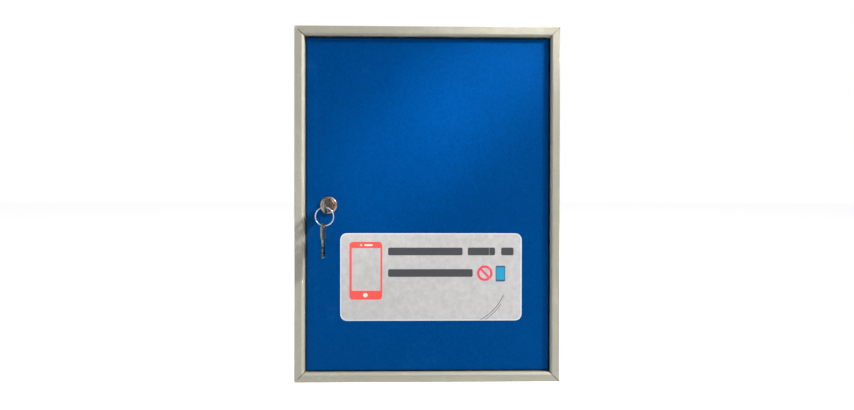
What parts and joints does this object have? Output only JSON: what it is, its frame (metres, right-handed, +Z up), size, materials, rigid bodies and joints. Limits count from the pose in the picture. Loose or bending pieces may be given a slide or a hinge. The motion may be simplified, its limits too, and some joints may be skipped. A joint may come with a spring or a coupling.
{
  "type": "cell phone locker box",
  "caption": "Shallow wall cabinet with a mitred aluminium front frame, an inset hinged steel door with cam lock and keys on a ring, and a rack of upright phone slots inside.",
  "frame": {"origin": "centre of the back face, which lies on the wall", "axes": "+Y into the wall, so the door faces -Y; +X to the right as seen from the front; +Z up"},
  "size_m": [0.3, 0.1425, 0.403],
  "materials": {
    "frame_aluminium": "satin anodised",
    "door_paint": "blue powder coat, fine texture",
    "back_steel": "light grey powder coat",
    "rack_paint": "light grey powder coat",
    "label_film": "satin printed film",
    "lock_chrome": "polished",
    "plug_brass": "nickel-plated, worn",
    "key_nickel": "nickel silver",
    "zinc_steel": "bright zinc",
    "nylon": "natural nylon",
    "pad_rubber": "matte"
  },
  "bodies": {
    "cabinet": {"back_panel": "back_steel", "corner_keys_front": "zinc_steel", "corner_keys_rear": "zinc_steel", "divider_lower_1": "rack_paint", "divider_lower_2": "rack_paint", "divider_lower_3": "rack_paint", "divider_lower_4": "rack_paint", "divider_lower_5": "rack_paint", "divider_lower_6": "rack_paint", "divider_lower_7": "rack_paint", "divider_lower_8": "rack_paint", "divider_lower_9": "rack_paint", "divider_upper_1": "rack_paint", "divider_upper_2": "rack_paint", "divider_upper_3": "rack_paint", "divider_upper_4": "rack_paint", "divider_upper_5": "rack_paint", "divider_upper_6": "rack_paint", "divider_upper_7": "rack_paint", "divider_upper_8": "rack_paint", "divider_upper_9": "rack_paint", "door_stops": "zinc_steel", "pivot_bushes": "nylon", "rack_floor": "rack_paint", "rack_middle_shelf": "rack_paint", "rack_rivets": "zinc_steel", "rack_roof": "rack_paint", "rim_screws": "zinc_steel", "stop_pads": "pad_rubber", "stop_rivets": "zinc_steel", "wall_profile_bottom": "frame_aluminium", "wall_profile_left": "frame_aluminium", "wall_profile_right": "frame_aluminium", "wall_profile_top": "frame_aluminium"},
    "door": {"door_panel": "door_paint", "label_sheet": "label_film", "lock_housing": "lock_chrome", "lock_nut": "zinc_steel", "lock_washer": "zinc_steel", "pivot_brackets": "zinc_steel", "pivot_pins": "zinc_steel"},
    "lock_plug": {"lock_plug": "plug_brass", "lock_cam": "zinc_steel", "cam_screw": "zinc_steel"},
    "key": {"inserted_key": "key_nickel"},
    "ring": {"key_ring": "zinc_steel"},
    "spare": {"spare_key": "key_nickel"}
  },
  "joints": [
    {"name": "door_hinge", "type": "hinge", "parent": "cabinet", "child": "door", "pos_m": [0.1302, -0.1095, 0], "axis": [0, 0, 1], "range_deg": [0, 110]},
    {"name": "lock_turn", "type": "hinge", "parent": "door", "child": "lock_plug", "pos_m": [-0.1125, -0.105, -0.001], "axis": [0, 1, 0], "range_deg": [0, 90]},
    {"name": "key_slide", "type": "slide", "parent": "lock_plug", "child": "key", "axis": [0, -1, 0], "range_m": [0, 0.022]},
    {"name": "ring_swing", "type": "hinge", "parent": "key", "child": "ring", "pos_m": [-0.1125, -0.1338, -0.001], "axis": [1, 0, 0], "range_deg": [-75, 5]},
    {"name": "spare_swing", "type": "hinge", "parent": "ring", "child": "spare", "pos_m": [-0.114, -0.1338, -0.02479], "axis": [1, 0, 0], "range_deg": [-60, 5]}
  ]
}
